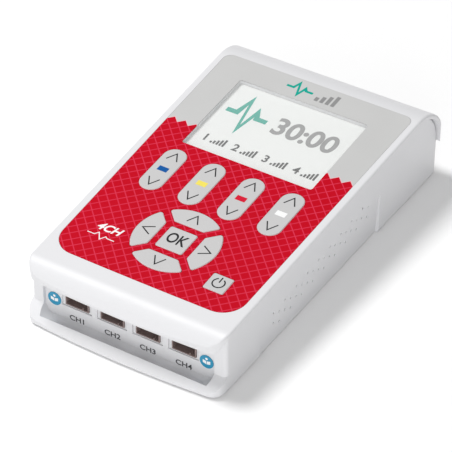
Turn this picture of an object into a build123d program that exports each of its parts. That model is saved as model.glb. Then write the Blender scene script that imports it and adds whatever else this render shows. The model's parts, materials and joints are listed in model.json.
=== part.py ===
from build123d import *
from math import cos, radians, sin, tan
import os

# Tens unit, four channels. +X right, +Y to the rear, +Z up, origin under the middle, mm.

# ---- driving dimensions ----
DECK_TILT = 4.4            # degrees, the top rises towards the rear
DECK_Z = 30.6              # height of the top surface at y = 0
FRONT_LIP_Y = -72.6        # front lip of the cover, at mid width
FRONT_LIP_Z = 18.8
FRONT_ROLL = 7.0           # radius where the top rolls down to the front lip
NOSE_Y = -65.0             # centre of that roll
FRONT_LEAN = 30.0          # degrees the front of the cover leans out
REAR_Y = 79.0
REAR_LIP_Z = 15.6
REAR_ROLL = 19.0
COVER_HALF = 41.3          # half width of the cover at y = 0
COVER_FLARE = 0.018        # extra half width per mm towards the rear
COVER_WALL = 1.8
CASE_HALF = 40.1           # half width of the lower case at y = 0
CASE_FLARE = 0.008
CASE_WALL = 2.4
CASE_REAR_Y = 78.0
CHIN_Y = -74.4             # foremost point of the lower case
CHIN_BOW = 1.9             # how far the chin's ends fall back
CHIN_CORNER = 4.8
POST_CORNER = 1.6
CHIN_SLOPE = 0.74          # the chin's sloped top, rise per mm towards the rear
RIDGE_Y = -71.3            # crest between the chin and the scoop in front of the sockets
PANEL_Y = -66.0            # face that carries the sockets
PANEL_HALF = 34.8
SCOOP_FLOOR = 1.9          # lowest level of the recess in front of the panel
POST_Y = -67.5             # front of the corner posts beside the recess
POST_FOOT = 6.6            # height where the posts run out into the chin
GAP = 0.10                 # clearance between fitted pieces
REVEAL = 0.55              # shadow gap under the cover's side edges

GRIP_TOP = 17.15           # top of the finger grips in the side walls

SOCKET_PITCH = 14.5
SOCKET_Z = 11.7
SOCKET_SIZE = (8.8, 5.4)   # clear mouth
DISC_X = 31.0
DISC_Z = 9.3

LABEL_HALF = 38.3
LABEL_FLARE = 0.022
LABEL_FRONT = -60.0
LABEL_REAR = 60.4
LABEL_THICK = 0.4
WINDOW_SIZE = (54.0, 40.6)
WINDOW_S = 28.9
ROCKER_PITCH = 16.24
ROCKER_S = -7.5
ROCKER_SIZE = (8.8, 23.5)
RING_S = -36.6
RING_OUTER = 15.9
RING_INNER = 8.1
RING_SLOT = 3.2
OK_SIZE = 10.7
POWER_AT = (24.0, -47.7)
POWER_SIZE = 7.8
KEY_TOP = 0.25
KEY_GAP = 0.25
FLANGE_TOP = -1.86
FLANGE_LOW = -2.5
PIVOT_N = -3.1
PIVOT_R = 0.7

BOARD_N = -6.0             # upper face of the key board, measured down from the top surface
BOARD_THICK = 1.2
MAIN_Z = 6.0               # underside of the main board
MAIN_THICK = 1.6
CELL_D = 14.2
CELL_L = 50.0
CELL_PITCH = 14.7
CELL_Y = 13.6
CELL_Z = 10.2
CASE_SCREWS = [(34.0, -56.5), (34.0, 52.0)]
BOARD_POSTS = [(34.4, -28.0), (34.4, 30.0)]
MAIN_POSTS = [(26.5, -31.0), (26.5, -10.0)]

CENTRE = Pos(0, -(CHIN_Y + REAR_Y) / 2, 0)   # puts the origin under the middle of the length
DECK = Pos(0, 0, DECK_Z) * Rot(DECK_TILT, 0, 0)
SLOPE = tan(radians(DECK_TILT))


# ---- helpers ----
def cut_all(body, tools):
    for tool in tools:
        body = body - tool
    return body


def box(x0, x1, y0, y1, z0, z1):
    return Pos((x0 + x1) / 2, (y0 + y1) / 2, (z0 + z1) / 2) * Box(x1 - x0, y1 - y0, z1 - z0)


def group(parts):
    """Separate solids of one node."""
    return Compound([solid for part in parts for solid in part.solids()])


def both_sides(points):
    return [(side * x, y) for x, y in points for side in (-1, 1)]


def rod(x, y, z0, z1, radius):
    return Pos(x, y, (z0 + z1) / 2) * Cylinder(radius, z1 - z0)


def outline(half, flare, front, bow, rear, front_corner, rear_corner):
    """Plan face with flared sides and a bowed front edge."""
    f_half = half + flare * (front + bow)
    r_half = half + flare * rear
    with BuildSketch() as plan:
        with BuildLine():
            Polyline((-f_half, front + bow), (-r_half, rear), (r_half, rear), (f_half, front + bow))
            ThreePointArc((f_half, front + bow), (0, front), (-f_half, front + bow))
        make_face()
        fillet(plan.vertices().filter_by(lambda v: v.Y < 0), front_corner)
        fillet(plan.vertices().filter_by(lambda v: v.Y > 0), rear_corner)
    return plan.sketch


def side_profile(inset, front_low, rear_low):
    """Face in the YZ plane under the cover's outer line, moved inwards by inset."""
    t = radians(DECK_TILT)
    roll_y, roll_z = 60.0, DECK_Z + SLOPE * 60.0 - REAR_ROLL / cos(t)
    rear_r = REAR_ROLL - inset
    deck_rear = (roll_y - rear_r * sin(t), roll_z + rear_r * cos(t))
    rear_side = (roll_y + rear_r, roll_z)
    nose_z = DECK_Z + SLOPE * NOSE_Y - FRONT_ROLL / cos(t)
    front_r = FRONT_ROLL - inset
    lean = radians(FRONT_LEAN)
    deck_front = (NOSE_Y - front_r * sin(t), nose_z + front_r * cos(t))
    front_side = (NOSE_Y - front_r * cos(lean), nose_z + front_r * sin(lean))
    mid = radians((90 + DECK_TILT + 180 - FRONT_LEAN) / 2)
    front_mid = (NOSE_Y + front_r * cos(mid), nose_z + front_r * sin(mid))
    back = radians((90 + DECK_TILT) / 2)
    rear_mid = (roll_y + rear_r * cos(back), roll_z + rear_r * sin(back))
    foot = (front_side[0] - (front_side[1] - front_low) * tan(lean), front_low)
    with BuildSketch(Plane.YZ) as face:
        with BuildLine():
            Line(foot, front_side)
            ThreePointArc(front_side, front_mid, deck_front)
            Line(deck_front, deck_rear)
            ThreePointArc(deck_rear, rear_mid, rear_side)
            Polyline(rear_side, (rear_side[0], rear_low), foot)
        make_face()
    return face.sketch


def across(face):
    return extrude(face, 60, both=True)


def stadium(width, length, low, high):
    return Pos(0, 0, low) * extrude(SlotOverall(length, width, rotation=90), high - low)


def plate(size_x, size_y, low, high, corner):
    return Pos(0, 0, low) * extrude(RectangleRounded(size_x, size_y, corner), high - low)


def wedge_face(grow):
    """One arrow key: a slice of the ring between two diagonal slots."""
    outer = RING_OUTER + grow
    chord = RING_INNER - grow
    ring = Circle(outer) & (Pos(0, chord + 20) * Rectangle(60, 40))
    reach = RING_SLOT / 2 / sin(radians(45)) - grow / sin(radians(45))
    with BuildSketch() as cone:
        with BuildLine():
            Polyline((0, reach), (40, reach + 40), (-40, reach + 40), (0, reach))
        make_face()
    face = ring & cone.sketch
    return fillet(face.vertices(), 0.8)


KEY_SPOTS = {
    "ok_key": (0.0, RING_S, 0),
    "up_key": (0.0, RING_S, 0),
    "left_key": (0.0, RING_S, 90),
    "down_key": (0.0, RING_S, 180),
    "right_key": (0.0, RING_S, 270),
    "power_key": (POWER_AT[0], POWER_AT[1], 0),
}


def key_block(name, grow, low, high):
    """A push key's prism in the deck's own frame, grown all round by grow."""
    x, s, turn = KEY_SPOTS[name]
    if name == "ok_key":
        face = RectangleRounded(OK_SIZE + 2 * grow, OK_SIZE + 2 * grow, 0.8)
    elif name == "power_key":
        face = RectangleRounded(POWER_SIZE + 2 * grow, POWER_SIZE + 2 * grow, 0.6)
    else:
        face = wedge_face(grow)
    return Pos(x, s, low) * Rot(0, 0, turn) * extrude(face, high - low)


def rocker_spots():
    return [((i - 1.5) * ROCKER_PITCH, ROCKER_S) for i in range(4)]


def socket_spots():
    return [(i - 1.5) * SOCKET_PITCH for i in range(4)]


def wire(points, radius=0.55, bend=1.6):
    """Round insulated wire that follows straight runs with rounded bends."""
    path = FilletPolyline(*points, radius=bend)
    section = Plane(origin=path @ 0, z_dir=path % 0) * Circle(radius)
    return sweep(section, path=path)


# ---- cases ----
def label_face(grow):
    face = outline(LABEL_HALF + grow, LABEL_FLARE, LABEL_FRONT - grow, 0.3, LABEL_REAR + grow, 9.0, 3.5)
    return face


def top_shell():
    plan = outline(COVER_HALF, COVER_FLARE, FRONT_LIP_Y, 1.4, REAR_Y + 0.4, 6.5, 4.0)
    block = extrude(plan, 60) & across(side_profile(0, FRONT_LIP_Z, REAR_LIP_Z))
    rim = block.edges().filter_by(lambda e: e.center().Z > FRONT_LIP_Z + 1 and abs(e.center().X) > 30)
    block = fillet(rim, 0.8)
    shell = block - across(side_profile(COVER_WALL, -5, -5))
    deck_cuts = [Pos(0, 0, -LABEL_THICK) * extrude(label_face(GAP), 5)]
    deck_cuts.append(Pos(0, WINDOW_S, 0) * plate(WINDOW_SIZE[0] + 0.2, WINDOW_SIZE[1] + 0.2, -4, 4, 1.0))
    for x, s in rocker_spots():
        deck_cuts.append(Pos(x, s, 0) * stadium(ROCKER_SIZE[0] + 2 * KEY_GAP, ROCKER_SIZE[1] + 2 * KEY_GAP, -4, 4))
    for name in KEY_SPOTS:
        deck_cuts.append(key_block(name, KEY_GAP, -4, 4))
    shell = cut_all(shell, [DECK * tool for tool in deck_cuts])
    under = -COVER_WALL + 0.3
    for x, s in both_sides(BOARD_POSTS):
        shell = shell + DECK * rod(x, s, BOARD_N + 0.02, under, 2.2)
        shell = shell - DECK * rod(x, s, BOARD_N - 1, BOARD_N + 4.0, 0.95)
    for x, y in both_sides(CASE_SCREWS):
        top = DECK_Z + SLOPE * y - COVER_WALL + 0.3
        shell = shell + rod(x, y, 13.0, top, 3.2)
        shell = shell - rod(x, y, 12.0, 21.0, 1.45)
    for x, s in rocker_spots():
        for side in (-1, 1):
            lug_x = x + side * (ROCKER_SIZE[0] / 2 + 1.3)
            lug = box(lug_x - 0.5, lug_x + 0.5, s - 1.6, s + 1.6, PIVOT_N - 1.6, under)
            bore = Pos(lug_x, s, PIVOT_N) * Rot(0, 90, 0) * Cylinder(PIVOT_R + 0.06, 3)
            shell = (shell + DECK * lug) - DECK * bore
    return shell


def chin_level(y):
    """Height of the chin's sloped top."""
    return POST_FOOT + CHIN_SLOPE * (y - POST_Y)


def profile_block(points):
    """Block right across the case from a closed outline in the YZ plane."""
    with BuildSketch(Plane.YZ) as side:
        with BuildLine():
            Polyline(*points, points[0])
        make_face()
    return across(side.sketch)


def case_prism(front, bow, front_corner):
    """Straight-sided block of the lower case with a rounded bottom edge."""
    plan = outline(CASE_HALF, CASE_FLARE, front, bow, CASE_REAR_Y, front_corner, 1.5)
    prism = extrude(plan, 60)
    return fillet(prism.edges().filter_by(lambda e: e.center().Z < 0.01), 1.4)


def case_block():
    """Outer form of the lower case: under the cover, with the chin in front."""
    under_cover = across(side_profile(COVER_WALL + GAP, -5, -5))
    main = case_prism(POST_Y, 0.1, POST_CORNER)
    lip_level = FRONT_LIP_Z - GAP
    main = main & (under_cover + box(-60, 60, -90, 90, -5, REAR_LIP_Z - GAP)
                   + box(-60, 60, -90, -60, -5, lip_level))
    chin = case_prism(CHIN_Y, CHIN_BOW, CHIN_CORNER)
    front, back = CHIN_Y - 1, -58.0
    chin = chin & profile_block([(front, -2), (front, chin_level(front)), (back, chin_level(back)), (back, -2)])
    groove = across(side_profile(COVER_WALL, FRONT_LIP_Z, REAR_LIP_Z))
    groove = groove - across(side_profile(COVER_WALL + REVEAL, -5, -5))
    groove = groove - extrude(outline(CASE_HALF - 1.1, CASE_FLARE, -90, 0.3, 100, 1.0, 1.0), 60)
    return (main + chin) - groove


def socket_recess():
    """Scoop in front of the sockets, open to the front under the cover's lip."""
    ridge_z = chin_level(RIDGE_Y)
    with BuildSketch(Plane.YZ) as side:
        with BuildLine():
            Polyline((-95, 40), (PANEL_Y, 40), (PANEL_Y, SCOOP_FLOOR + 0.5))
            ThreePointArc((PANEL_Y, SCOOP_FLOOR + 0.5), (PANEL_Y - 2.2, SCOOP_FLOOR), (RIDGE_Y, ridge_z))
            Polyline((RIDGE_Y, ridge_z), (-95, 16), (-95, 40))
        make_face()
    front = extrude(Plane.XZ * Pos(0, 20 + SCOOP_FLOOR - 0.01, 0) * RectangleRounded(2 * PANEL_HALF, 40, 4.5), 100)
    return across(side.sketch) & front


def grip_cut(side):
    """Finger grip: the wall leans in towards the bottom, with rows of dimples."""
    tools = []
    with BuildSketch(Plane.XZ.offset(46.0)) as face:
        with BuildLine():
            Polyline((CASE_HALF + 3, GRIP_TOP), (CASE_HALF - 0.1, GRIP_TOP), (CASE_HALF - 1.3, -1), (CASE_HALF + 3, -1),
                     (CASE_HALF + 3, GRIP_TOP))
        make_face()
    wedge = extrude(face.sketch, -81.0)
    tools.append(wedge)
    for group in range(-1, 9):
        first, last = (2, 4) if group < 0 else (0, 2) if group > 7 else (0, 4)
        for dot in range(first, last):
            y = -37.7 + 7.5 * group + 4.0 * dot
            z = 14.0 + 0.7 * group - 2.1 * dot
            depth = CASE_HALF - 0.1 - 1.2 * (GRIP_TOP - z) / (GRIP_TOP + 1) - 0.4
            tools.append(Pos(depth + 1.5, y, z) * Rot(0, 90, 0) * Cylinder(0.5, 3.0))
    if side < 0:
        tools = [mirror(tool, Plane.YZ) for tool in tools]
    return tools


def bottom_shell():
    shell = case_block() - socket_recess()
    with BuildSketch() as plan:
        with BuildLine():
            inner_f = CASE_HALF + CASE_FLARE * PANEL_Y - CASE_WALL
            inner_r = CASE_HALF + CASE_FLARE * CASE_REAR_Y - CASE_WALL
            front, rear = PANEL_Y + CASE_WALL, CASE_REAR_Y - CASE_WALL
            Polyline((-inner_f, front), (inner_f, front), (inner_r, rear), (-inner_r, rear), (-inner_f, front))
        make_face()
        fillet(plan.vertices(), 2.5)
    shell = shell - Pos(0, 0, CASE_WALL) * extrude(plan.sketch, 60)
    for x in socket_spots():
        wide, high = SOCKET_SIZE[0] + 1.0, SOCKET_SIZE[1] + 1.0
        shell = shell - box(x - wide / 2 - 1.3, x + wide / 2 + 1.3, PANEL_Y - 1, PANEL_Y + 0.6,
                            SOCKET_Z - high / 2 - 0.6, SOCKET_Z + high / 2 + 0.6)
        shell = shell - box(x - wide / 2, x + wide / 2, PANEL_Y - 1, PANEL_Y + 4,
                            SOCKET_Z - high / 2, SOCKET_Z + high / 2)
    for side in (-1, 1):
        shell = cut_all(shell, grip_cut(side))
    # battery bay: ledged opening in the floor that runs out to the rear, and two low ribs
    shell = shell - box(-27.2, 27.2, 5.0, 90, -1, CASE_WALL + 1)
    shell = shell - box(-28.5, 28.5, 5.0, 90, 0.8, CASE_WALL + 0.02)
    shell = shell + box(-28.0, 28.0, 3.2, 5.0, 1.0, 12.0)
    for side in (-1, 1):
        shell = shell + box(side * 29.4 - 0.7, side * 29.4 + 0.7, 3.2, 66.0, 1.0, 12.0)
    for x, y in both_sides(CASE_SCREWS):
        shell = shell + rod(x, y, 1.0, 12.9, 3.6)
        shell = shell - rod(x, y, -1, 14, 1.7)
        shell = shell - rod(x, y, -1, 7.0, 2.9)
    for x, y in both_sides(MAIN_POSTS):
        shell = shell + rod(x, y, 1.0, MAIN_Z - 0.02, 2.5)
        shell = shell - rod(x, y, 1.8, MAIN_Z + 1, 0.95)
    shell = shell - Pos(33.4, CASE_REAR_Y, 8.6) * Rot(90, 0, 0) * Cylinder(3.4, 8)
    return shell


def battery_door():
    """Flat door that slides off to the rear on two side tongues."""
    door = box(-27.0, 27.0, 5.2, CASE_REAR_Y - 1.5, 0.2, 2.0)
    door = door + box(-28.3, 28.3, 5.2, CASE_REAR_Y - 6.0, 0.95, 2.0)
    for i in range(5):
        door = door - box(-9, 9, 60 + 2.4 * i, 61.2 + 2.4 * i, -1, 0.7)
    return door


# ---- top surface ----
def keypad_overlay():
    sheet = Pos(0, 0, -LABEL_THICK + 0.02) * extrude(label_face(0), LABEL_THICK - 0.02)
    cuts = [Pos(0, WINDOW_S, 0) * plate(WINDOW_SIZE[0], WINDOW_SIZE[1], -2, 2, 1.0)]
    for x, s in rocker_spots():
        cuts.append(Pos(x, s, 0) * stadium(ROCKER_SIZE[0] + 0.5, ROCKER_SIZE[1] + 0.5, -2, 2))
    for name in KEY_SPOTS:
        cuts.append(key_block(name, KEY_GAP, -2, 2))
    return DECK * cut_all(sheet, cuts)


def display_window():
    return DECK * Pos(0, WINDOW_S, 0) * plate(WINDOW_SIZE[0] - 0.1, WINDOW_SIZE[1] - 0.1, -1.8, -0.3, 0.9)


def display_frame():
    ring = plate(61.0, 47.4, BOARD_N + 0.02, -1.85, 1.5) - plate(58.4, 45.4, BOARD_N - 1, 0, 0.6)
    return DECK * Pos(0, WINDOW_S, 0) * ring


def lcd_panel():
    return DECK * Pos(0, WINDOW_S, 0) * plate(58.0, 45.0, -3.8, -1.95, 0.3)


def lcd_backlight():
    return DECK * Pos(0, WINDOW_S, 0) * plate(58.0, 45.0, BOARD_N + 0.02, -3.85, 0.5)


def display_ribbon():
    """Flat ribbon from the display's rear edge down to the key board."""
    ribbon = box(-14, 14, WINDOW_S + 23.8, WINDOW_S + 24.0, BOARD_N + 0.3, -2.2)
    foot = box(-14, 14, WINDOW_S + 23.8, WINDOW_S + 26.4, BOARD_N + 0.02, BOARD_N + 0.3)
    return DECK * (ribbon + foot)


def channel_key(index):
    x, s = rocker_spots()[index]
    key = stadium(ROCKER_SIZE[0], ROCKER_SIZE[1], FLANGE_LOW, KEY_TOP)
    key = fillet(key.edges().filter_by(lambda e: e.center().Z > KEY_TOP - 0.01), 0.2)
    key = key + box(-4.3, 4.3, -2.0, 2.0, PIVOT_N - 0.9, FLANGE_LOW)
    pin = Pos(0, 0, PIVOT_N) * Rot(0, 90, 0) * Cylinder(PIVOT_R, ROCKER_SIZE[0] + 3.6)
    return DECK * Pos(x, s, 0) * (key + pin)


def push_key(name):
    body = key_block(name, 0, FLANGE_LOW, KEY_TOP)
    body = fillet(body.edges().filter_by(lambda e: e.center().Z > KEY_TOP - 0.01), 0.2)
    flange = key_block(name, 0.75, FLANGE_LOW, FLANGE_TOP)
    return DECK * (body + flange)


# ---- electronics ----
def switch_spots():
    spots = [(x, s + side * 8.0) for x, s in rocker_spots() for side in (-1, 1)]
    spots.append((0.0, RING_S))
    spots.append((POWER_AT[0], POWER_AT[1]))
    for dx, ds in ((1, 0), (-1, 0), (0, 1), (0, -1)):
        spots.append((11.6 * dx, RING_S + 11.6 * ds))
    return spots


def tactile_switches():
    """Low push switches, one under each key and two under each rocker."""
    parts = []
    for x, s in switch_spots():
        base = box(x - 2.2, x + 2.2, s - 2.2, s + 2.2, BOARD_N + 0.02, -3.6)
        parts.append(DECK * (base + rod(x, s, -3.7, -3.0, 1.0)))
    return group(parts)


def key_board():
    board = box(-36.8, 36.8, -60.0, 57.0, BOARD_N - BOARD_THICK, BOARD_N)
    for x, s in both_sides(BOARD_POSTS):
        board = board - rod(x, s, BOARD_N - 3, BOARD_N + 1, 1.1)
    board = DECK * board
    for x, y in both_sides(CASE_SCREWS):
        board = board - rod(x, y, 5, 45, 3.8)
    return board


def key_board_screws():
    parts = []
    for x, s in both_sides(BOARD_POSTS):
        low = BOARD_N - BOARD_THICK
        parts.append(DECK * (rod(x, s, low - 1.22, low - 0.02, 1.8) + rod(x, s, low - 0.5, BOARD_N + 3.6, 0.85)))
    return group(parts)


def main_board():
    board = box(-29.8, 29.8, -62.0, 2.6, MAIN_Z, MAIN_Z + MAIN_THICK)
    for x, y in both_sides(MAIN_POSTS):
        board = board - rod(x, y, MAIN_Z - 1, MAIN_Z + 4, 1.15)
    return board


def main_board_screws():
    top = MAIN_Z + MAIN_THICK
    parts = []
    for x, y in both_sides(MAIN_POSTS):
        parts.append(rod(x, y, top + 0.02, top + 1.4, 1.9) + rod(x, y, 2.2, top + 0.5, 0.85))
    return group(parts)


def case_screws():
    parts = []
    for x, y in both_sides(CASE_SCREWS):
        screw = rod(x, y, 5.0, 6.98, 2.6) + rod(x, y, 6.0, 19.5, 1.35)
        screw = screw - box(x - 1.8, x + 1.8, y - 0.35, y + 0.35, 4, 5.9)
        screw = screw - box(x - 0.35, x + 0.35, y - 1.8, y + 1.8, 4, 5.9)
        parts.append(screw)
    return group(parts)


def output_socket(index):
    """Shrouded two-pin lead socket on the main board."""
    x = socket_spots()[index]
    wide, high = SOCKET_SIZE
    top = MAIN_Z + MAIN_THICK
    nose = box(x - wide / 2 - 0.4, x + wide / 2 + 0.4, PANEL_Y + 0.1, PANEL_Y + 4,
               SOCKET_Z - high / 2 - 0.4, SOCKET_Z + high / 2 + 0.4)
    body = box(x - wide / 2 - 1.3, x + wide / 2 + 1.3, PANEL_Y + CASE_WALL + 0.1, PANEL_Y + 15,
               top + 0.02, SOCKET_Z + high / 2 + 1.4)
    mouth = box(x - wide / 2, x + wide / 2, PANEL_Y - 1, PANEL_Y + 12.5,
                SOCKET_Z - high / 2, SOCKET_Z + high / 2)
    rib = box(x + 2.1, x + 2.6, PANEL_Y + 0.3, PANEL_Y + 12.6, SOCKET_Z - high / 2 - 0.1, SOCKET_Z - high / 2 + 0.5)
    socket = ((nose + body) - mouth) + rib
    for side in (-1, 1):
        socket = socket - box(x + side * 2.2 - 0.5, x + side * 2.2 + 0.5, PANEL_Y + 12, PANEL_Y + 16,
                              SOCKET_Z - 0.5, SOCKET_Z + 0.5)
    return socket


def socket_contacts():
    """Square pins, two per socket, with legs down to the main board."""
    parts = []
    top = MAIN_Z + MAIN_THICK
    for x in socket_spots():
        for side in (-1, 1):
            pin_x = x + side * 2.2
            pin = box(pin_x - 0.45, pin_x + 0.45, PANEL_Y + 6.6, PANEL_Y + 16.4, SOCKET_Z - 0.45, SOCKET_Z + 0.45)
            leg = box(pin_x - 0.45, pin_x + 0.45, PANEL_Y + 15.5, PANEL_Y + 16.4, top + 0.02, SOCKET_Z)
            parts.append(pin + leg)
    return group(parts)


def output_transformers():
    """One step-up transformer per channel: a ferrite core around a bobbin."""
    parts = []
    top = MAIN_Z + MAIN_THICK + 0.02
    for x in socket_spots():
        core = box(x - 5.2, x + 5.2, -46.5, -35.5, top, top + 8.5)
        core = core - box(x - 3.4, x + 3.4, -48, -34, top + 1.8, top + 6.7)
        coil = box(x - 3.3, x + 3.3, -48.0, -34.0, top + 1.85, top + 6.65)
        parts.append(core)
        parts.append(coil)
    return group(parts)


def capacitors():
    top = MAIN_Z + MAIN_THICK + 0.02
    return group([rod(x, -28.0, top, top + 8.0, 2.6) for x in (-21.0, -14.0, 14.0, 21.0)])


def output_transistors():
    top = MAIN_Z + MAIN_THICK + 0.02
    return group([box(x - 2.6, x + 2.6, -23.0, -17.6, top, top + 1.7) for x in (-23, -17, 17, 23)])


def microcontroller():
    top = MAIN_Z + MAIN_THICK + 0.02
    return box(-6.0, 6.0, -14.0, -2.0, top, top + 1.5)


def buzzer():
    top = MAIN_Z + MAIN_THICK + 0.02
    can = rod(19.0, -8.0, top, top + 5.0, 5.0)
    return can - rod(19.0, -8.0, top + 3.5, top + 6, 1.0)


def board_link():
    """Stacking header between the main board and the key board."""
    top = MAIN_Z + MAIN_THICK + 0.02
    pillar = box(-12.7, 12.7, -22.6, -18.2, top, 40)
    under = DECK * box(-60, 60, -90, 90, BOARD_N - BOARD_THICK - 60, BOARD_N - BOARD_THICK - 0.02)
    return pillar & under


def battery_cells():
    parts = []
    for i in range(4):
        y = CELL_Y + CELL_PITCH * i
        cell = Pos(0, y, CELL_Z) * Rot(0, 90, 0) * Cylinder(CELL_D / 2, CELL_L)
        sign = 1 if i % 2 else -1
        nub = Pos(sign * (CELL_L / 2 + 0.4), y, CELL_Z) * Rot(0, 90, 0) * Cylinder(2.7, 0.9)
        parts.append(cell + nub)
    return group(parts)


def battery_wrap():
    """Shrink sleeve round the four cells."""
    length = 3 * CELL_PITCH + CELL_D
    mid = CELL_Y + 1.5 * CELL_PITCH

    def pill(grow):
        face = Plane.YZ * SlotOverall(length + 2 * grow, CELL_D + 2 * grow)
        return Pos(0, mid, CELL_Z) * extrude(face, CELL_L / 2 - 1.0, both=True)
    return pill(0.3) - pill(0.04)


def battery_lead():
    """Two wires from the cells over the bay rib to the plug."""
    return group([
        wire([(x, 7.9, 16.0), (x, 7.9, 18.8), (x, 0.2, 18.8), (x, 0.2, 12.3)]) for x in (-23.0, -20.6)])


def charge_lead():
    """Two wires from the charger jack through the battery bay to the main board."""
    top = MAIN_Z + MAIN_THICK + 0.05
    parts = []
    for start_y, run_z, end_y in ((68.0, 13.2, 1.4), (70.2, 14.6, -0.9)):
        parts.append(wire([(30.2, start_y, 7.0), (27.3, start_y, 7.0), (27.3, start_y, run_z),
                           (27.3, end_y, run_z), (27.3, end_y, top)], bend=1.2))
    return group(parts)


def battery_plug():
    return box(-25.6, -18.0, -2.4, 1.8, 10.2, 12.25)


def battery_header():
    top = MAIN_Z + MAIN_THICK + 0.02
    return box(-25.8, -17.8, -2.8, 2.2, top, 10.15)


def charge_socket():
    """Barrel jack for the charger in the rear wall."""
    block = box(30.3, 36.5, CASE_REAR_Y - CASE_WALL - 12.0, CASE_REAR_Y - CASE_WALL - 0.15, 3.4, 13.4)
    nose = Pos(33.4, CASE_REAR_Y - 1.6, 8.6) * Rot(90, 0, 0) * Cylinder(3.2, 3.0)
    bore = Pos(33.4, CASE_REAR_Y - 4.0, 8.6) * Rot(90, 0, 0) * Cylinder(2.75, 18.0)
    pin = Pos(33.4, CASE_REAR_Y - 8.4, 8.6) * Rot(90, 0, 0) * Cylinder(0.65, 10.0)
    return ((block + nose) - (bore & box(20, 45, CASE_REAR_Y - 12.5, 90, 0, 30))) + pin


def instruction_disc(side):
    return Pos(side * DISC_X, PANEL_Y - 0.14, DISC_Z) * Rot(90, 0, 0) * Cylinder(2.7, 0.24)


# ---- write every node ----
def build():
    nodes = {
        "top_shell": top_shell(),
        "bottom_shell": bottom_shell(),
        "battery_door": battery_door(),
        "keypad_overlay": keypad_overlay(),
        "display_window": display_window(),
        "display_frame": display_frame(),
        "lcd_panel": lcd_panel(),
        "lcd_backlight": lcd_backlight(),
        "display_ribbon": display_ribbon(),
        "tactile_switches": tactile_switches(),
        "key_board": key_board(),
        "key_board_screws": key_board_screws(),
        "main_board": main_board(),
        "main_board_screws": main_board_screws(),
        "case_screws": case_screws(),
        "socket_contacts": socket_contacts(),
        "output_transformers": output_transformers(),
        "capacitors": capacitors(),
        "output_transistors": output_transistors(),
        "microcontroller": microcontroller(),
        "buzzer": buzzer(),
        "board_link": board_link(),
        "battery_cells": battery_cells(),
        "battery_wrap": battery_wrap(),
        "battery_lead": battery_lead(),
        "battery_plug": battery_plug(),
        "battery_header": battery_header(),
        "charge_socket": charge_socket(),
        "charge_lead": charge_lead(),
        "instruction_disc_left": instruction_disc(-1),
        "instruction_disc_right": instruction_disc(1),
    }
    for index in range(4):
        nodes[f"channel_{index + 1}_key"] = channel_key(index)
        nodes[f"output_socket_{index + 1}"] = output_socket(index)
    for name in KEY_SPOTS:
        nodes[name] = push_key(name)
    return nodes


os.makedirs("parts", exist_ok=True)
for node, shape in build().items():
    export_step(CENTRE * shape, f"parts/{node}.step")
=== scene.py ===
"""Looks for the four-channel tens unit: materials, printed signs, display picture, lights and camera."""
import json
import math

import bmesh
import bpy
from mathutils import Matrix, Vector


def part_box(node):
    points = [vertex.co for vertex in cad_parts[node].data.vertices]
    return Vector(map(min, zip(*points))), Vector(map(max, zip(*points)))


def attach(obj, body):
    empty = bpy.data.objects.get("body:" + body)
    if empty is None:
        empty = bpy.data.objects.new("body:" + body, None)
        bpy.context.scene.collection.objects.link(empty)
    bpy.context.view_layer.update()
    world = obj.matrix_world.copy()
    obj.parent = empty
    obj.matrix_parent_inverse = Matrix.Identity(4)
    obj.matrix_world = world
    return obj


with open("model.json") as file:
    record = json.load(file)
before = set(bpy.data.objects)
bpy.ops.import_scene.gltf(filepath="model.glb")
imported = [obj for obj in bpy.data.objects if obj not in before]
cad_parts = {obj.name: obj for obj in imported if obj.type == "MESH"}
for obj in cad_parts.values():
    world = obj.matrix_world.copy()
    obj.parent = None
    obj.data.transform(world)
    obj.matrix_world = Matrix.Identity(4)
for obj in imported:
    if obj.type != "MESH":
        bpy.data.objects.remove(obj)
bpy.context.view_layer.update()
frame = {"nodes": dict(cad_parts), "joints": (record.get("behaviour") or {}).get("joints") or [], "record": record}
NODES = frame["nodes"]
MM = 0.001
CASE = "case"

# ---- driving values, millimetres on the sloped top ----
GRID_PITCH = 4.575         # spacing of the label's diamond grid along x
TEAR_PEAK = (27.45, 19.3)  # one peak of the torn edge between the red and the grey field
GRID_LINE = 0.56
PRINT_LIFT = 0.02          # how far print stands proud of what it is on
PRINT_THICK = 0.04
SIGN_STROKE = 0.46
SIGN_WIDTH = 4.4            # open arrows on the keys
SIGN_RISE = 3.9
ROCKER_ARROW_REACH = 7.4    # from a rocker key's middle to each of its arrows
COLOUR_BAR = (4.0, 2.4)     # channel colour in the middle of a rocker key
RING_ARROW_REACH = 11.9     # from the confirm key's middle to the direction keys' arrows
POWER_RADIUS = 2.2
POWER_STROKE = 0.5
BORDER_GAP = 0.17           # from a key's edge to the middle of its printed border
BORDER_WIDTH = 0.28
CHANNEL_NAME_LEVEL = 3.6    # height of the channel names above the table
CHANNEL_NAME_SIZE = 2.15
MARK_GAP = 5.6              # from the window's rear edge to the middle of the rear marks
CLOCK_SIZE = 9.0
FLOOR_SIZE = 8.0            # metres
CHANNEL_COLOURS = {1: "blue", 2: "yellow", 3: "red", 4: "white"}

INKS = {
    "blue": (0.0, 0.09, 0.34), "yellow": (0.85, 0.72, 0.12), "red": (0.64, 0.004, 0.03),
    "white": (0.90, 0.90, 0.90), "charcoal": (0.02, 0.02, 0.022), "teal": (0.0, 0.36, 0.28),
    "mid_grey": (0.27, 0.27, 0.27), "pale_pink": (0.92, 0.60, 0.64), "panel_print": (0.07, 0.07, 0.075),
}

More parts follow.
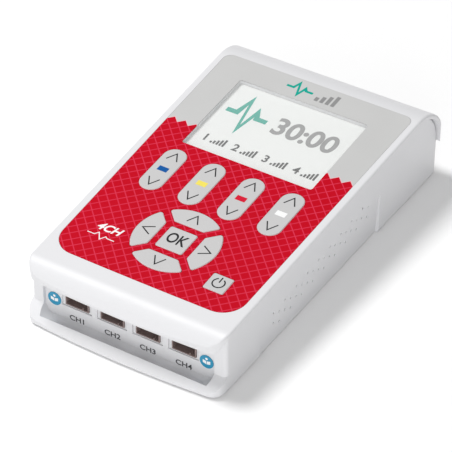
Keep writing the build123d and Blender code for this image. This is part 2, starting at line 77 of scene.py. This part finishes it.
# ---- light and view, metres, degrees and watts ----
WORLD_STRENGTH = 0.42
LIGHTS = [
    ("key", (-0.52, -0.06, 1.25), 0.45, 11.6),
    ("front_fill", (0.50, -1.35, 0.32), 1.2, 9.0),
]
VIEW_AZIMUTH = 32.02
VIEW_ELEVATION = 38.35
VIEW_DISTANCE = 0.8771
VIEW_TARGET = (-0.00796, 0.00599, 0.0008)
VIEW_LENS = 192.4


# ---- the sloped top's own frame ----
def deck_frame():
    """Matrix from (x, along the slope, out of the surface) in metres to the row frame."""
    press = next(j for j in frame["joints"] if j["name"] == "ok_press")
    out = -Vector(press["axis"])
    along = Vector((0, out.z, -out.y))
    low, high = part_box("keypad_overlay")
    centre = (Vector(low) + Vector(high)) / 2
    slab = (high[2] - low[2] - (high[1] - low[1]) * math.tan(math.asin(along.z))) / out.z
    origin = centre + out * abs(slab) / 2
    turn = Matrix((Vector((1, 0, 0)), along, out)).transposed().to_4x4()
    return Matrix.Translation(origin) @ turn


DECK = deck_frame()
TO_DECK = DECK.inverted()


def deck_centre(node):
    """Middle of a CAD node in the sloped frame, millimetres."""
    low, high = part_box(node)
    return (TO_DECK @ ((Vector(low) + Vector(high)) / 2)) / MM


def deck_top(node):
    """Highest level of a CAD node above the sloped top, millimetres."""
    return max((TO_DECK @ v.co).z for v in NODES[node].data.vertices) / MM


# ---- shader helpers ----
class Shader:
    """A small wrapper for building one material's node tree."""

    def __init__(self, name):
        self.material = bpy.data.materials.new(name)
        self.material.use_nodes = True
        self.tree = self.material.node_tree
        self.surface = self.tree.nodes["Principled BSDF"]
        coords = self.tree.nodes.new("ShaderNodeTexCoord")
        self.place = coords.outputs["Object"]

    def link(self, source, target):
        self.tree.links.new(source, target)

    def feed(self, value, socket):
        if isinstance(value, (int, float)):
            socket.default_value = value
        else:
            self.link(value, socket)

    def math(self, operation, first, second=0.0):
        node = self.tree.nodes.new("ShaderNodeMath")
        node.operation = operation
        self.feed(first, node.inputs[0])
        self.feed(second, node.inputs[1])
        return node.outputs[0]

    def dot(self, direction, offset=0.0, scale=1.0):
        """Distance along a direction, from offset, in units of scale."""
        node = self.tree.nodes.new("ShaderNodeVectorMath")
        node.operation = "DOT_PRODUCT"
        self.link(self.place, node.inputs[0])
        node.inputs[1].default_value = direction
        return self.math("DIVIDE", self.math("SUBTRACT", node.outputs["Value"], offset), scale)

    def noise(self, scale, detail=2.0):
        node = self.tree.nodes.new("ShaderNodeTexNoise")
        node.inputs["Scale"].default_value = scale
        node.inputs["Detail"].default_value = detail
        self.link(self.place, node.inputs["Vector"])
        return node.outputs["Fac"]

    def spread(self, value, low, high):
        node = self.tree.nodes.new("ShaderNodeMapRange")
        node.inputs["To Min"].default_value = low
        node.inputs["To Max"].default_value = high
        self.link(value, node.inputs["Value"])
        return node.outputs["Result"]

    def blend(self, mask, first, second):
        node = self.tree.nodes.new("ShaderNodeMix")
        node.data_type = "RGBA"
        self.feed(mask, node.inputs["Factor"])
        for colour, socket in ((first, node.inputs["A"]), (second, node.inputs["B"])):
            if isinstance(colour, tuple):
                socket.default_value = (*colour, 1.0)
            else:
                self.link(colour, socket)
        return node.outputs["Result"]

    def bump(self, height, depth_mm, strength=1.0):
        node = self.tree.nodes.new("ShaderNodeBump")
        node.inputs["Distance"].default_value = depth_mm * MM
        node.inputs["Strength"].default_value = strength
        self.link(height, node.inputs["Height"])
        self.link(node.outputs["Normal"], self.surface.inputs["Normal"])

    def set(self, **values):
        for name, value in values.items():
            self.surface.inputs[name.replace("_", " ")].default_value = value


def shade(colour, factor):
    return tuple(min(1.0, channel * factor) for channel in colour)


def moulded(name, colour, roughness, grain_mm=0.25, depth_mm=0.01, patch=0.04, **values):
    """Moulded plastic: fine spark texture, faint patches of tone and of polish."""
    sh = Shader(name)
    patches = sh.noise(60.0, 3.0)
    tones = shade(colour, 1 - patch), shade(colour, 1 + patch)
    sh.link(sh.blend(patches, *tones), sh.surface.inputs["Base Color"])
    grain = sh.noise(1.0 / (grain_mm * MM), 2.0)
    polish = sh.spread(sh.noise(140.0, 4.0), roughness - 0.05, roughness + 0.06)
    sh.link(polish, sh.surface.inputs["Roughness"])
    sh.bump(grain, depth_mm, 0.35)
    sh.set(**values)
    return sh.material


def metal(name, colour, roughness, brushed_axis=(0, 1, 0)):
    """Plain metal with fine lines across brushed_axis."""
    sh = Shader(name)
    stripes = sh.dot(brushed_axis, 0.0, 0.00008)
    waver = sh.math("MULTIPLY", sh.noise(900.0), 6.0)
    lines = sh.math("SINE", sh.math("ADD", stripes, waver))
    sh.link(sh.spread(lines, roughness - 0.05, roughness + 0.1), sh.surface.inputs["Roughness"])
    sh.link(sh.blend(sh.noise(300.0), shade(colour, 0.9), colour), sh.surface.inputs["Base Color"])
    sh.set(Metallic=1.0)
    return sh.material


def ink(name):
    """Screen-printed ink, slightly uneven."""
    colour = INKS[name]
    sh = Shader("ink_" + name)
    tones = shade(colour, 0.94), shade(colour, 1.05)
    sh.link(sh.blend(sh.noise(500.0, 3.0), *tones), sh.surface.inputs["Base Color"])
    sh.link(sh.spread(sh.noise(1200.0), 0.45, 0.58), sh.surface.inputs["Roughness"])
    sh.set(Specular_IOR_Level=0.15)
    return sh.material


def label_material():
    """Printed film: grey field at the rear, red field with a diamond grid in front, torn edge between."""
    sh = Shader("label_film")
    x_axis, along = DECK.col[0].xyz, DECK.col[1].xyz
    origin = DECK.translation
    x = sh.dot(x_axis, origin.dot(x_axis), MM)
    s = sh.dot(along, origin.dot(along), MM)
    peak_x, peak_s = TEAR_PEAK

    def grid(value, phase):
        start = phase - 100 * GRID_PITCH
        cell = sh.math("FRACT", sh.math("DIVIDE", sh.math("SUBTRACT", value, start), GRID_PITCH))
        edge = sh.math("MINIMUM", cell, sh.math("SUBTRACT", 1.0, cell))
        half_line = GRID_LINE / GRID_PITCH / math.sqrt(2)
        return sh.math("SUBTRACT", 1.0, sh.math("SMOOTH_MIN", sh.math("DIVIDE", edge, half_line), 1.0))

    rising = grid(sh.math("ADD", x, s), peak_x + peak_s)
    falling = grid(sh.math("SUBTRACT", x, s), peak_x - peak_s)
    lines = sh.math("MULTIPLY", sh.math("MAXIMUM", rising, falling), 0.85)
    tooth = sh.math("FRACT", sh.math("DIVIDE", sh.math("SUBTRACT", x, peak_x - 100 * GRID_PITCH), GRID_PITCH))
    fall = sh.math("MULTIPLY", sh.math("MINIMUM", tooth, sh.math("SUBTRACT", 1.0, tooth)), GRID_PITCH)
    border = sh.math("SUBTRACT", peak_s, fall)
    is_red = sh.math("LESS_THAN", s, border)
    fringe = sh.math("LESS_THAN", sh.math("ABSOLUTE", sh.math("SUBTRACT", s, border)), 0.22)
    tone = sh.noise(45.0, 3.0)
    red = sh.blend(lines, sh.blend(tone, (0.50, 0.0, 0.010), (0.56, 0.0, 0.015)), (0.74, 0.05, 0.11))
    grey = sh.blend(tone, (0.53, 0.53, 0.525), (0.58, 0.58, 0.575))
    colour = sh.blend(is_red, grey, red)
    colour = sh.blend(sh.math("MULTIPLY", fringe, 0.55), colour, (0.86, 0.62, 0.64))
    sh.link(colour, sh.surface.inputs["Base Color"])
    sh.link(sh.spread(sh.noise(200.0, 4.0), 0.42, 0.52), sh.surface.inputs["Roughness"])
    sh.set(Specular_IOR_Level=0.07)
    sh.bump(sh.noise(2500.0), 0.006, 0.3)
    return sh.material


def screen_material():
    """Backlit display face with its fine dot rows."""
    sh = Shader("lcd_face")
    rows = sh.math("SINE", sh.dot(DECK.col[1].xyz, 0.0, 0.00004))
    dots = sh.math("SINE", sh.dot(DECK.col[0].xyz, 0.0, 0.00004))
    weave = sh.spread(sh.math("MULTIPLY", rows, dots), 0.0, 1.0)
    sh.link(sh.blend(weave, (0.70, 0.71, 0.70), (0.73, 0.74, 0.73)), sh.surface.inputs["Base Color"])
    sh.set(Roughness=0.5, Specular_IOR_Level=0.2, Emission_Color=(0.86, 0.88, 0.86, 1.0),
           Emission_Strength=0.12)
    return sh.material


def lens_material():
    """Thin clear window with a soft hard-coat gloss."""
    sh = Shader("window_clear")
    sh.set(Base_Color=(0.97, 0.98, 0.97, 1.0), Alpha=0.10, IOR=1.49)
    sh.link(sh.spread(sh.noise(90.0, 3.0), 0.06, 0.12), sh.surface.inputs["Roughness"])
    return sh.material


def board_material():
    """Green solder mask with faint tracks under it."""
    sh = Shader("board_green")
    tracks = sh.math("GREATER_THAN", sh.math("SINE", sh.dot((1, 0, 0), 0.0, 0.0004)), 0.55)
    sh.link(sh.blend(tracks, (0.006, 0.10, 0.04), (0.012, 0.17, 0.06)), sh.surface.inputs["Base Color"])
    sh.link(sh.spread(sh.noise(400.0), 0.3, 0.42), sh.surface.inputs["Roughness"])
    return sh.material


def wound_material():
    """Dark ferrite with a copper-coloured winding showing as fine turns."""
    sh = Shader("ferrite_dark")
    turns = sh.math("SINE", sh.dot((0, 1, 0), 0.0, 0.00006))
    sh.link(sh.blend(sh.spread(turns, 0.0, 0.5), (0.035, 0.032, 0.03), (0.10, 0.055, 0.03)),
            sh.surface.inputs["Base Color"])
    sh.link(sh.spread(sh.noise(700.0), 0.55, 0.7), sh.surface.inputs["Roughness"])
    return sh.material


def slot_materials():
    """One finished material for every material slot of the record."""
    return {
        "shell_white": moulded("shell_white", (0.74, 0.74, 0.756), 0.45, 0.35, 0.012, 0.012),
        "label_film": label_material(),
        "window_clear": lens_material(),
        "frame_black": moulded("frame_black", (0.03, 0.03, 0.03), 0.55),
        "lcd_glass": screen_material(),
        "backlight_white": moulded("backlight_white", (0.80, 0.80, 0.78), 0.5),
        "ribbon_amber": moulded("ribbon_amber", (0.55, 0.24, 0.03), 0.3),
        "switch_black": moulded("switch_black", (0.02, 0.02, 0.02), 0.45),
        "board_green": board_material(),
        "screw_steel": metal("screw_steel", (0.62, 0.63, 0.65), 0.3),
        "contact_brass": metal("contact_brass", (0.80, 0.62, 0.30), 0.25, (1, 0, 0)),
        "ferrite_dark": wound_material(),
        "can_aluminium": metal("can_aluminium", (0.60, 0.62, 0.66), 0.35, (0, 0, 1)),
        "chip_black": moulded("chip_black", (0.012, 0.012, 0.013), 0.5, 0.15),
        "cell_steel": metal("cell_steel", (0.55, 0.57, 0.55), 0.3),
        "wrap_film": moulded("wrap_film", (0.02, 0.10, 0.28), 0.25, 2.0, 0.05),
        "wire_red": moulded("wire_red", (0.50, 0.01, 0.01), 0.4),
        "wire_black": moulded("wire_black", (0.015, 0.015, 0.015), 0.4),
        "plug_white": moulded("plug_white", (0.78, 0.76, 0.68), 0.45),
        "key_grey": moulded("key_grey", (0.56, 0.555, 0.555), 0.42, 0.2, 0.008, 0.03),
        "socket_brown": moulded("socket_brown", (0.25, 0.185, 0.175), 0.5),
        "disc_blue": moulded("disc_blue", (0.008, 0.27, 0.46), 0.4, 0.3, 0.005),
    }


def dress_cad_nodes():
    """Gives every CAD node the finished material of its record slot."""
    finished = slot_materials()
    for entry in frame["record"]["subparts"]:
        mesh = NODES[entry["node"]].data
        mesh.materials.clear()
        mesh.materials.append(finished[entry["material_slot"]])


# ---- flat print and thin pieces ----
def add_piece(name, faces, matrix, material, body, thick=PRINT_THICK):
    """Thin piece from faces, each a list of (x, y, z) in millimetres in matrix's frame."""
    mesh = bpy.data.meshes.new(name)
    bm = bmesh.new()
    for points in faces:
        bm.faces.new([bm.verts.new(matrix @ (Vector(p) * MM)) for p in points])
    bmesh.ops.remove_doubles(bm, verts=bm.verts, dist=0.0005 * MM)
    bmesh.ops.recalc_face_normals(bm, faces=bm.faces)
    out = matrix.col[2].xyz
    for face in bm.faces:
        if face.normal.dot(out) < 0:
            face.normal_flip()
    bm.to_mesh(mesh)
    bm.free()
    piece = bpy.data.objects.new(name, mesh)
    bpy.context.scene.collection.objects.link(piece)
    mesh.materials.append(material)
    solid = piece.modifiers.new("thickness", "SOLIDIFY")
    solid.thickness = thick * MM
    solid.offset = -1.0
    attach(piece, body)
    return piece


def offset_loop(points, distance, closed):
    """Points moved sideways by distance, mitred at the corners."""
    count = len(points)
    moved = []
    for i, point in enumerate(points):
        before = points[(i - 1) % count] if closed or i > 0 else None
        after = points[(i + 1) % count] if closed or i < count - 1 else None
        pairs = ((before, point), (point, after))
        sides = [(Vector(b) - Vector(a)).normalized() for a, b in pairs if a and b]
        normals = [Vector((-side.y, side.x)) for side in sides]
        middle = sum(normals, Vector((0, 0))).normalized()
        reach = distance / max(0.4, middle.dot(normals[0]))
        moved.append(tuple(Vector(point) + middle * reach))
    return moved


def stroke_faces(points, width, level, closed=False):
    """Quads of an even line along points."""
    left = offset_loop(points, width / 2, closed)
    right = offset_loop(points, -width / 2, closed)
    count = len(points)
    faces = []
    for i in range(count if closed else count - 1):
        following = (i + 1) % count
        corners = left[i], right[i], right[following], left[following]
        faces.append([(*corner, level) for corner in corners])
    return faces


def arc(centre, radius, start, end, steps=24):
    angles = [math.radians(start + (end - start) * i / steps) for i in range(steps + 1)]
    return [(centre[0] + radius * math.cos(a), centre[1] + radius * math.sin(a)) for a in angles]


def rectangle(centre, width, height, level):
    x, y = centre
    return [[(x - width / 2, y - height / 2, level), (x + width / 2, y - height / 2, level),
             (x + width / 2, y + height / 2, level), (x - width / 2, y + height / 2, level)]]


def chevron(centre, direction):
    """Three points of an open arrow that points along direction (degrees, 0 is +x)."""
    turn = Matrix.Rotation(math.radians(direction), 2)
    tail, half = SIGN_RISE / 2, SIGN_WIDTH / 2
    shape = [(-tail, half), (tail, 0.0), (-tail, -half)]
    return [tuple(turn @ Vector(p) + Vector(centre)) for p in shape]


def lettering(name, text, centre, level, height, matrix, material, body, stretch=1.0, weight=0.0, slant=0.0):
    """Flat letters centred on a spot of matrix's frame, turned into a mesh."""
    curve = bpy.data.curves.new(name, "FONT")
    curve.body = text
    curve.size = height * MM / 0.70
    curve.align_x = "CENTER"
    curve.align_y = "CENTER"
    curve.offset = weight * MM
    curve.shear = slant
    curve.extrude = PRINT_THICK / 2 * MM
    letters = bpy.data.objects.new(name + "_outline", curve)
    bpy.context.scene.collection.objects.link(letters)
    mesh = bpy.data.meshes.new_from_object(letters.evaluated_get(bpy.context.evaluated_depsgraph_get()))
    bpy.data.objects.remove(letters)
    spot = Matrix.Translation(Vector((*centre, level)) * MM) @ Matrix.Diagonal((stretch, 1, 1, 1))
    mesh.transform(matrix @ spot)
    mesh.materials.clear()
    mesh.materials.append(material)
    piece = bpy.data.objects.new(name, mesh)
    bpy.context.scene.collection.objects.link(piece)
    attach(piece, body)
    return piece


def top_outline(node):
    """Outline of a key's flat top as an ordered loop of (x, s) in millimetres."""
    bm = bmesh.new()
    bm.from_mesh(NODES[node].data)
    bm.transform(TO_DECK)
    bmesh.ops.remove_doubles(bm, verts=bm.verts, dist=0.002 * MM)
    level = deck_top(node) * MM
    top = [f for f in bm.faces if f.normal.z > 0.999 and abs(f.calc_center_median().z - level) < 0.01 * MM]
    edges = [e for e in bm.edges if sum(f in e.link_faces for f in top) == 1] if top else []
    links = {}
    for edge in edges:
        a, b = edge.verts
        links.setdefault(a.index, []).append(b.index)
        links.setdefault(b.index, []).append(a.index)
    bm.verts.ensure_lookup_table()
    start = next(iter(links))
    loop, previous = [start], None
    while True:
        step = [i for i in links[loop[-1]] if i != previous][0]
        if step == start:
            break
        previous = loop[-1]
        loop.append(step)
    points = [tuple(bm.verts[i].co.xy / MM) for i in loop]
    bm.free()
    area = sum(a[0] * b[1] - b[0] * a[1] for a, b in zip(points, points[1:] + points[:1]))
    return points if area < 0 else points[::-1]


# ---- what is printed on the keys and the label ----
def key_signs(inks):
    """Chevrons, channel colours, the confirm word and the power sign, each on its own key."""
    for channel, colour in CHANNEL_COLOURS.items():
        node = f"channel_{channel}_key"
        x, s, _ = deck_centre(node)
        level = deck_top(node) + PRINT_LIFT
        faces = []
        for side in (-1, 1):
            faces += stroke_faces(chevron((x, s + side * ROCKER_ARROW_REACH), 90 * side), SIGN_STROKE, level)
        add_piece(f"{node}_signs", faces, DECK, inks["charcoal"], node)
        add_piece(f"{node}_colour", rectangle((x, s), *COLOUR_BAR, level), DECK, inks[colour], node)
    ring_x, ring_s, _ = deck_centre("ok_key")
    for node, direction in (("right_key", 0), ("up_key", 90), ("left_key", 180), ("down_key", 270)):
        level = deck_top(node) + PRINT_LIFT
        reach = Matrix.Rotation(math.radians(direction), 2) @ Vector((RING_ARROW_REACH, 0))
        points = chevron((ring_x + reach.x, ring_s + reach.y), direction)
        add_piece(f"{node}_sign", stroke_faces(points, SIGN_STROKE, level), DECK, inks["charcoal"], node)
    level = deck_top("ok_key") + PRINT_LIFT
    lettering("ok_key_word", "OK", (ring_x, ring_s), level, 4.9, DECK, inks["charcoal"], "ok_key", 0.74, 0.10)
    x, s, _ = deck_centre("power_key")
    level = deck_top("power_key") + PRINT_LIFT
    sign = stroke_faces(arc((x, s), POWER_RADIUS, 118, 422), POWER_STROKE, level)
    sign += stroke_faces([(x, s + 2.9), (x, s + 0.3)], POWER_STROKE, level)
    add_piece("power_key_sign", sign, DECK, inks["charcoal"], "power_key")


def key_borders(inks):
    """Pale printed line round every key opening."""
    faces = []
    keys = [n for n in NODES if n.endswith("_key")]
    for node in keys:
        loop = offset_loop(top_outline(node), BORDER_GAP, True)
        faces += stroke_faces(loop, BORDER_WIDTH, PRINT_LIFT, True)
    add_piece("key_borders", faces, DECK, inks["pale_pink"], CASE)


def pulse(centre, width, height):
    """Points of one stylised pulse: flat, up, down, flat."""
    x, s = centre
    shape = [(-0.5, 0), (-0.24, 0), (-0.14, 0.5), (0.04, -0.5), (0.16, 0.2), (0.24, 0), (0.5, 0)]
    return [(x + u * width, s + v * height) for u, v in shape]


def label_marks(inks):
    """Generic marks in place of names: a pulse with level bars at the rear, a channel count in front."""
    _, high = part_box("display_window")
    rear_s = (TO_DECK @ Vector((0, high[1], high[2]))).y / MM
    mark_s = rear_s + MARK_GAP
    add_piece("rear_mark_pulse", stroke_faces(pulse((-5.0, mark_s), 11.0, 6.4), 1.1, PRINT_LIFT), DECK,
              inks["teal"], CASE)
    bars = []
    for i in range(4):
        tall = 2.2 + 1.3 * i
        bars += rectangle((3.2 + 2.3 * i, mark_s - 3.1 + tall / 2), 1.5, tall, PRINT_LIFT)
    add_piece("rear_mark_bars", bars, DECK, inks["mid_grey"], CASE)
    ring_x, ring_s, _ = deck_centre("left_key")
    spot = (ring_x - 11.4, ring_s - 6.6)
    lettering("front_mark_word", "4CH", spot, PRINT_LIFT, 3.4, DECK, inks["white"], CASE, 1.0, 0.12, 0.25)
    line = pulse((spot[0] - 0.6, spot[1] - 4.4), 11.0, 3.0)
    add_piece("front_mark_pulse", stroke_faces(line, 0.35, PRINT_LIFT), DECK, inks["white"], CASE)


def display_picture(inks):
    """What the display shows: a pulse, a clock, and level bars for each channel."""
    x, s, _ = deck_centre("display_window")
    level = deck_top("lcd_panel") + PRINT_LIFT
    add_piece("screen_pulse", stroke_faces(pulse((x - 15.5, s + 5.5), 17.0, 17.0), 2.3, level), DECK,
              inks["teal"], CASE)
    clock_spot = (x + 9.0, s + 5.5)
    lettering("screen_clock", "30:00", clock_spot, level, CLOCK_SIZE, DECK, inks["mid_grey"],
              CASE, 0.92, 0.35)
    steps = []
    for channel in range(4):
        left = x - 22.0 + 12.6 * channel
        lettering(f"screen_number_{channel + 1}", str(channel + 1), (left, s - 12.0), level, 3.6, DECK,
                  inks["charcoal"], CASE, 1.0, 0.12)
        for i in range(5):
            tall = 1.0 + 0.75 * i
            steps += rectangle((left + 2.9 + 1.25 * i, s - 13.8 + tall / 2), 0.85, tall, level)
    add_piece("screen_levels", steps, DECK, inks["charcoal"], CASE)


def front_print(inks):
    """Channel names under the sockets and a booklet sign on each disc."""
    face_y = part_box("instruction_disc_left")[1][1]
    panel = Matrix(((1, 0, 0, 0), (0, 0, -1, face_y), (0, 1, 0, 0), (0, 0, 0, 1)))
    for channel in range(1, 5):
        low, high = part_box(f"output_socket_{channel}")
        x = (low[0] + high[0]) / 2 / MM
        spot = (x, CHANNEL_NAME_LEVEL)
        lettering(f"channel_name_{channel}", f"CH{channel}", spot, PRINT_LIFT, CHANNEL_NAME_SIZE,
                  panel, inks["panel_print"], CASE, 1.12, 0.05)
    for side in ("left", "right"):
        low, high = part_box(f"instruction_disc_{side}")
        x, z = (low[0] + high[0]) / 2 / MM, (low[2] + high[2]) / 2 / MM
        proud = (face_y - low[1]) / MM + PRINT_LIFT
        pages = []
        for turn in (-1, 1):
            pages.append([(x + turn * 0.12, z - 1.0, proud), (x + turn * 1.5, z - 0.6, proud),
                          (x + turn * 1.5, z + 0.7, proud), (x + turn * 0.12, z + 0.3, proud)])
        for a, b in zip(arc((x, z + 1.35), 0.5, 0, 360, 16), arc((x, z + 1.35), 0.5, 0, 360, 16)[1:]):
            pages.append([(x, z + 1.35, proud), (*a, proud), (*b, proud)])
        add_piece(f"disc_{side}_sign", pages, panel, inks["white"], CASE)


# ---- stage, lights and camera ----
def stage_and_light():
    """Seamless pale floor, soft key from the left and above, low fill from the front right."""
    bpy.ops.mesh.primitive_plane_add(size=FLOOR_SIZE, location=(0, 0, -0.0002))
    floor = bpy.context.object
    floor.name = "studio_floor"
    sh = Shader("studio_floor")
    sh.link(sh.blend(sh.noise(3.0), (0.985, 0.985, 0.985), (1.0, 1.0, 1.0)), sh.surface.inputs["Base Color"])
    sh.set(Roughness=0.9)
    floor.data.materials.append(sh.material)
    world = bpy.data.worlds.new("studio")
    world.use_nodes = True
    world.node_tree.nodes["Background"].inputs["Color"].default_value = (1.0, 1.0, 1.0, 1.0)
    world.node_tree.nodes["Background"].inputs["Strength"].default_value = WORLD_STRENGTH
    bpy.context.scene.world = world
    bpy.context.scene.view_settings.view_transform = "Standard"
    for name, spot, size, power in LIGHTS:
        data = bpy.data.lights.new(name, "AREA")
        data.shape = "DISK"
        data.size = size
        data.energy = power
        lamp = bpy.data.objects.new(name, data)
        lamp.location = spot
        lamp.rotation_euler = (-Vector(spot)).to_track_quat("-Z", "Y").to_euler()
        bpy.context.scene.collection.objects.link(lamp)


def camera():
    """Camera at the photograph's viewing angle, on a long lens."""
    turn, rise = math.radians(VIEW_AZIMUTH), math.radians(VIEW_ELEVATION)
    back = Vector((math.sin(turn) * math.cos(rise), -math.cos(turn) * math.cos(rise), math.sin(rise)))
    data = bpy.data.cameras.new("photo_camera")
    data.lens = VIEW_LENS
    data.sensor_width = 36.0
    data.clip_start = 0.01
    eye = bpy.data.objects.new("photo_camera", data)
    eye.location = Vector(VIEW_TARGET) + back * VIEW_DISTANCE
    eye.rotation_euler = (-back).to_track_quat("-Z", "Y").to_euler()
    bpy.context.scene.collection.objects.link(eye)
    bpy.context.scene.camera = eye


inks = {name: ink(name) for name in INKS}
dress_cad_nodes()
key_signs(inks)
key_borders(inks)
label_marks(inks)
display_picture(inks)
front_print(inks)
stage_and_light()
camera()
